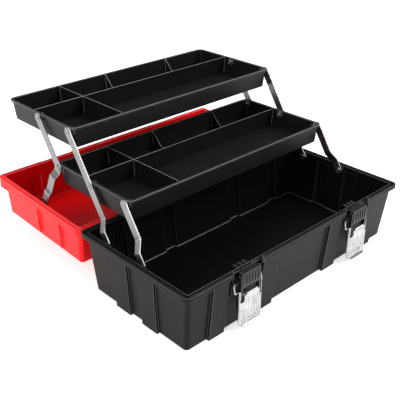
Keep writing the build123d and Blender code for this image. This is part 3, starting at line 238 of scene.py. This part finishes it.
# ---------------------------------------------------------------- materials
def plastic(name, color, roughness, pebbles, relief, **shader):
    """Moulded plastic: a toned colour, pebbled relief and handling marks in the gloss."""
    material = bpy.data.materials.new(name)
    material.use_nodes = True
    tree = material.node_tree
    surface = tree.nodes["Principled BSDF"]
    for socket, value in shader.items():
        surface.inputs[socket.replace("_", " ")].default_value = value
    vector = tree.nodes.new("ShaderNodeTexCoord").outputs["Object"]
    grain = place_group(tree, GRAIN, vector, Pebbles_per_Metre=pebbles, Flow=PLASTIC_FLOW)
    marks = place_group(tree, HANDLING, vector, Roughness=roughness)
    tone = tree.nodes.new("ShaderNodeVectorMath")
    tone.operation = "SCALE"
    tone.inputs[0].default_value = color
    tree.links.new(grain.outputs["Tone"], tone.inputs["Scale"])
    tree.links.new(tone.outputs[0], surface.inputs["Base Color"])
    tree.links.new(marks.outputs["Roughness"], surface.inputs["Roughness"])
    bump = new_node(tree, "ShaderNodeBump", Strength=relief, Distance=PLASTIC_RELIEF_DEPTH)
    tree.links.new(grain.outputs["Height"], bump.inputs["Height"])
    tree.links.new(bump.outputs["Normal"], surface.inputs["Normal"])
    return material


def metal(name, color, roughness, stretch, mottle, relief, scratches=0.1, lines=260.0):
    """Sheet or drawn metal: rolling lines in tone and relief, scratches in the gloss."""
    material = bpy.data.materials.new(name)
    material.use_nodes = True
    tree = material.node_tree
    surface = tree.nodes["Principled BSDF"]
    surface.inputs["Metallic"].default_value = 1.0
    vector = tree.nodes.new("ShaderNodeTexCoord").outputs["Object"]
    rolled = place_group(tree, ROLLED, vector, Stretch=stretch, Mottle=mottle, Lines=lines)
    marks = place_group(
        tree,
        HANDLING,
        vector,
        Roughness=roughness,
        Patchiness=METAL_PATCHINESS,
        Scratches=scratches,
    )
    tone = tree.nodes.new("ShaderNodeVectorMath")
    tone.operation = "SCALE"
    tone.inputs[0].default_value = color
    tree.links.new(rolled.outputs["Tone"], tone.inputs["Scale"])
    tree.links.new(tone.outputs[0], surface.inputs["Base Color"])
    tree.links.new(marks.outputs["Roughness"], surface.inputs["Roughness"])
    bump = new_node(tree, "ShaderNodeBump", Strength=relief, Distance=METAL_RELIEF_DEPTH)
    tree.links.new(rolled.outputs["Height"], bump.inputs["Height"])
    tree.links.new(bump.outputs["Normal"], surface.inputs["Normal"])
    return material


BLACK = plastic(
    "black_moulded_plastic", (0.0036, 0.0037, 0.0041), 0.42, 1100.0, 0.20, Specular_IOR_Level=0.12
)
# A lighter copy of the black plastic for the rounded edges: a painted highlight along them.
BLACK_EDGE_HIGHLIGHT = plastic(
    "black_plastic_edge_highlight", (0.05, 0.051, 0.054), 0.28, 1100.0, 0.06, Specular_IOR_Level=0.5
)
TRAY_BLACK = plastic(
    "tray_plastic", (0.0068, 0.0069, 0.0074), 0.40, 1500.0, 0.14, Specular_IOR_Level=0.18
)
# A much lighter grey copy of the tray plastic for its rounded edges: a painted highlight.
TRAY_EDGE_HIGHLIGHT = plastic(
    "tray_plastic_edge_highlight", (0.26, 0.26, 0.265), 0.28, 1500.0, 0.05, Specular_IOR_Level=0.5
)
RED = plastic(
    "red_moulded_plastic", (0.86, 0.004, 0.007), 0.34, 1300.0, 0.05, Specular_IOR_Level=0.16
)
# A brighter, pinker copy of the red for the rounded edges: a painted highlight.
RED_EDGE_HIGHLIGHT = plastic("red_plastic_edge_highlight", (1.0, 0.10, 0.10), 0.28, 1300.0, 0.03)
LATCH_BLACK = plastic(
    "latch_plastic", (0.0040, 0.0041, 0.0045), 0.28, 1600.0, 0.08, Specular_IOR_Level=0.32
)
# A lighter copy of the latch plastic for its rounded edges: a painted highlight.
LATCH_EDGE_HIGHLIGHT = plastic("latch_plastic_edge_highlight", (0.07, 0.071, 0.075), 0.24, 1600.0, 0.04)
ZINC = metal("zinc_plated_strap", (0.27, 0.272, 0.275), 0.36, (6.0, 1.0, 1.0), 0.30, 0.14)
# A lighter copy of the zinc for the straps' rounded edges: a painted highlight.
ZINC_EDGE_HIGHLIGHT = metal("zinc_strap_edge_highlight", (0.62, 0.625, 0.63), 0.24, (6.0, 1.0, 1.0), 0.08, 0.05)
# The nickel's mottle of 1.1, stretched so that it runs upright, paints strong light and dark vertical
# streaks into the colour: painted reflections, over the plating's own mottle.
NICKEL = metal(
    "nickel_plate",
    (0.46, 0.46, 0.455),
    0.17,
    (9.0, 9.0, 1.0),
    1.1,
    0.22,
    scratches=0.08,
    lines=34.0,
)
# A darker copy of the nickel for the levers' rounded edges: painted shade lines along them.
NICKEL_EDGE_SHADE = metal("nickel_plate_edge_shade", (0.20, 0.20, 0.198), 0.20, (9.0, 9.0, 1.0), 0.03, 0.03)
WIRE = metal("drawn_steel_wire", (0.42, 0.42, 0.43), 0.26, (1.0, 1.0, 1.0), 0.14, 0.05)

# Each slot's material with its edge copy: the second one is painted edge light, a highlight, and on
# the nickel a shade.
FINISH_AND_PAINTED_EDGE_LIGHT = {
    "black_plastic": (BLACK, BLACK_EDGE_HIGHLIGHT),
    "red_plastic": (RED, RED_EDGE_HIGHLIGHT),
    "latch_plastic": (LATCH_BLACK, LATCH_EDGE_HIGHLIGHT),
    "zinc_steel": (ZINC, ZINC_EDGE_HIGHLIGHT),
    "nickel_plate": (NICKEL, NICKEL_EDGE_SHADE),
    "steel_wire": (WIRE, WIRE),
}
TRAY_FINISH_AND_PAINTED_EDGE_LIGHT = (TRAY_BLACK, TRAY_EDGE_HIGHLIGHT)
TRAYS = ("lower_tray", "upper_tray")
# Edge zones: (lowest, highest, share of the edge width), heights above the node's foot in mm,
# then the share everywhere else. A share of 0 leaves the edge sharp, as on the trays' floor ribs.
EDGE_ZONES = {
    # On the base the full-width band round the inner foot of the walls carries the painted edge
    # highlight as a bright line there.
    "base_tub": (((6.2, 6.8, 1.0),), 0.3),
    "lower_tray": (((-1.0, 4.0, 0.0),), 1.0),
    "upper_tray": (((-1.0, 4.0, 0.0),), 1.0),
}
EDGE_SEGMENTS = 2
FOLD_ANGLE = 28.0  # degrees; a sharper fold than this is an edge
FLAT_ANGLE = 0.6  # degrees; faces that differ by less are joined
MERGE_DISTANCE = 2e-6
FLAT_WEIGHT = 60


# ---------------------------------------------------------------- softened pieces
def zone_share(node, low, high):
    """Share of the edge width for an edge that lies between these heights in mm."""
    zones, elsewhere = EDGE_ZONES.get(node, ((), 1.0))
    for bottom, top, share in zones:
        if bottom < low and high < top:
            return share
    return elsewhere


def softened(node, width, finish_and_painted_edge_light):
    """A merged copy of a CAD node with its edges rounded, the bevel faces in a painted edge highlight
    (a painted shade on the nickel); it stands for the node.
    """
    mesh = NODES[node].data.copy()
    shell = bmesh.new()
    shell.from_mesh(mesh)
    bmesh.ops.remove_doubles(shell, verts=shell.verts, dist=MERGE_DISTANCE)
    bmesh.ops.dissolve_degenerate(shell, dist=MERGE_DISTANCE, edges=shell.edges)
    bmesh.ops.dissolve_limit(
        shell, angle_limit=math.radians(FLAT_ANGLE), verts=shell.verts, edges=shell.edges
    )
    foot = min(vert.co.z for vert in shell.verts)
    weight = shell.edges.layers.float.new("bevel_weight_edge")
    for edge in shell.edges:
        heights = [(vert.co.z - foot) / MM for vert in edge.verts]
        folded = edge.is_manifold and edge.calc_face_angle(0.0) > math.radians(FOLD_ANGLE)
        edge[weight] = zone_share(node, min(heights), max(heights)) if folded else 0.0
        edge.smooth = not folded or edge[weight] > 0.0
    shell.to_mesh(mesh)
    shell.free()
    mesh.polygons.foreach_set("use_smooth", np.ones(len(mesh.polygons), bool))
    mesh.materials.clear()
    for material in finish_and_painted_edge_light:
        mesh.materials.append(material)
    mesh.polygons.foreach_set("material_index", np.zeros(len(mesh.polygons), np.int32))
    piece = bpy.data.objects.new(node + "_softened", mesh)
    bpy.context.scene.collection.objects.link(piece)
    edges = piece.modifiers.new("rounded_edges", "BEVEL")
    edges.width = width * MM
    edges.segments = EDGE_SEGMENTS
    edges.limit_method = "WEIGHT"
    edges.use_clamp_overlap = False
    # The bevel faces take the second material: the painted edge highlight, or the painted shade on
    # the nickel.
    edges.material = 1
    edges.miter_outer = "MITER_ARC"
    flats = piece.modifiers.new("flat_faces", "WEIGHTED_NORMAL")
    flats.weight = FLAT_WEIGHT
    flats.keep_sharp = True
    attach(piece, BODY_OF[node])
    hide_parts(node)


EDGE_WIDTHS = {
    "base_tub": 1.5,
    "lid_shell": 0.45,
    "lower_tray": 0.36,
    "upper_tray": 0.36,
    "carry_handle": 1.6,
    "latch_bracket": 0.35,
    "latch_hook": 0.4,
    "latch_lever": 0.3,
    "middle_arm": 0.3,
    "front_arm": 0.3,
    "rear_arm": 0.3,
    "lid_link": 0.3,
    "lid_ear": 0.3,
    "base_rivets": 0.4,
    "lower_tray_rivets": 0.4,
    "upper_tray_rivets": 0.4,
    "link_pin": 0.4,
    "ear_pins": 0.3,
    "handle_pins": 0.4,
    "hinge_pin": 0.4,
    "hook_pin": 0.4,
}


def edge_width(node):
    """The edge rounding for a node, by its name without the side, or None for a bare node."""
    plain = node.removesuffix("_left").removesuffix("_right")
    return EDGE_WIDTHS.get(plain)


for node in sorted(NODES):
    width = edge_width(node)
    finish_and_painted_edge_light = TRAY_FINISH_AND_PAINTED_EDGE_LIGHT if node in TRAYS else FINISH_AND_PAINTED_EDGE_LIGHT[SLOT_OF[node]]
    if width is None:
        NODES[node].data.materials.clear()
        NODES[node].data.materials.append(finish_and_painted_edge_light[0])
    else:
        softened(node, width, finish_and_painted_edge_light)


# ---------------------------------------------------------------- pressed panels on the levers
LATCH_X = 115.0
PANEL_HALF_WIDTH = 13.4
PANEL_Z = (23.2, 55.0)
PANEL_FACE_Y = -114.8  # front face of the lever's sheet
PANEL_CROWN = 0.45  # rise of the middle over the sides
PANEL_BEAD = 0.55  # rise of the two upright beads
PANEL_BEAD_X = 10.4
PANEL_BEAD_WIDTH = 1.15
PANEL_EDGE = 1.2  # how far in from its border the panel has risen fully
PANEL_ROOT = 0.3  # depth of the panel's back inside the sheet
PANEL_GRID = (57, 65)


def pressed_panel(node, middle):
    """The raised face of a latch lever, a closed sheet in front of the flat sheet.

    The front stands off the sheet by a parabola across the width, highest in the middle, plus
    two bell curves that run up the sides as beads. Near the border a quarter sine brings both
    down to the sheet. The back is the same grid laid flat inside the sheet, and a strip round
    the border joins the two.
    """
    across = np.linspace(-PANEL_HALF_WIDTH, PANEL_HALF_WIDTH, PANEL_GRID[0])
    up = np.linspace(*PANEL_Z, PANEL_GRID[1])
    x, z = np.meshgrid(across, up)
    inset = np.minimum.reduce((PANEL_HALF_WIDTH - abs(x), z - PANEL_Z[0], PANEL_Z[1] - z))
    rise = np.sin(np.clip(inset / PANEL_EDGE, 0, 1) * np.pi / 2)
    crown = PANEL_CROWN * (1 - (x / PANEL_HALF_WIDTH) ** 2)
    bead = PANEL_BEAD * np.exp(-(((abs(x) - PANEL_BEAD_X) / PANEL_BEAD_WIDTH) ** 2))
    front = np.stack([middle + x, PANEL_FACE_Y - rise * (crown + bead), z], axis=-1)
    back = np.stack([middle + x, np.full_like(x, PANEL_FACE_Y + PANEL_ROOT), z], axis=-1)
    points = np.concatenate([front.reshape(-1, 3), back.reshape(-1, 3)]) * MM
    index = np.arange(x.size).reshape(x.shape)
    quads = np.stack([index[:-1, :-1], index[:-1, 1:], index[1:, 1:], index[1:, :-1]], axis=-1)
    quads = quads.reshape(-1, 4)
    border = np.concatenate([index[0, :-1], index[:-1, -1], index[-1, :0:-1], index[:0:-1, 0]])
    ahead = np.roll(border, -1)
    rim = np.stack([border, border + x.size, ahead + x.size, ahead], axis=-1)
    faces = np.concatenate([quads, quads[:, ::-1] + x.size, rim])
    mesh = bpy.data.meshes.new(node + "_panel")
    mesh.from_pydata(points.tolist(), [], faces.tolist())
    mesh.polygons.foreach_set("use_smooth", np.arange(len(faces)) < len(quads))
    mesh.materials.append(NICKEL)
    piece = bpy.data.objects.new(node + "_panel", mesh)
    bpy.context.scene.collection.objects.link(piece)
    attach(piece, BODY_OF[node])


pressed_panel("latch_lever_left", -LATCH_X)
pressed_panel("latch_lever_right", LATCH_X)


# ---------------------------------------------------------------- floor
def floor_disc():
    """A flat disc: one face, its rim the radius times the cosine and sine once round."""
    turns = np.linspace(0, 2 * np.pi, FLOOR_RIM_POINTS, endpoint=False)
    rim = np.stack([np.cos(turns), np.sin(turns), np.zeros_like(turns)], axis=1) * FLOOR_RADIUS
    mesh = bpy.data.meshes.new("studio_floor")
    mesh.from_pydata(rim.tolist(), [], [list(range(len(rim)))])
    return mesh


floor = bpy.data.objects.new("studio_floor", floor_disc())
bpy.context.scene.collection.objects.link(floor)
paper = bpy.data.materials.new("studio_paper")
paper.use_nodes = True
paper_surface = paper.node_tree.nodes["Principled BSDF"]
paper_surface.inputs["Base Color"].default_value = FLOOR_COLOR
paper_surface.inputs["Roughness"].default_value = FLOOR_ROUGHNESS
paper_surface.inputs["Specular IOR Level"].default_value = FLOOR_SPECULAR
paper_surface.inputs["Emission Color"].default_value = WHITE
paper_surface.inputs["Emission Strength"].default_value = FLOOR_GLOW
floor.data.materials.append(paper)


# ---------------------------------------------------------------- light
def softbox(name, place, target, size, power):
    """A square area light at place, facing target."""
    lamp = bpy.data.lights.new(name, "AREA")
    lamp.shape = "SQUARE"
    lamp.size = size
    lamp.energy = power
    holder = bpy.data.objects.new(name, lamp)
    holder.location = place
    holder.rotation_euler = (Vector(target) - Vector(place)).to_track_quat("-Z", "Y").to_euler()
    bpy.context.scene.collection.objects.link(holder)


for box in SOFTBOXES:
    softbox(*box)

world = bpy.data.worlds.new("studio")
bpy.context.scene.world = world
world.use_nodes = True
sky = world.node_tree.nodes["Background"]
sky.inputs["Color"].default_value = WHITE
sky.inputs["Strength"].default_value = SKY_STRENGTH
bpy.context.scene.view_settings.view_transform = "Standard"

# ---------------------------------------------------------------- camera
lens = bpy.data.cameras.new("camera")
lens.lens = CAMERA_LENS
lens.sensor_width = SENSOR
lens.clip_end = CLIP_END
camera = bpy.data.objects.new("camera", lens)
camera.location = CAMERA_PLACE
camera.rotation_euler = (math.radians(90 - CAMERA_ELEVATION), 0, math.radians(CAMERA_AZIMUTH))
bpy.context.scene.collection.objects.link(camera)
bpy.context.scene.camera = camera
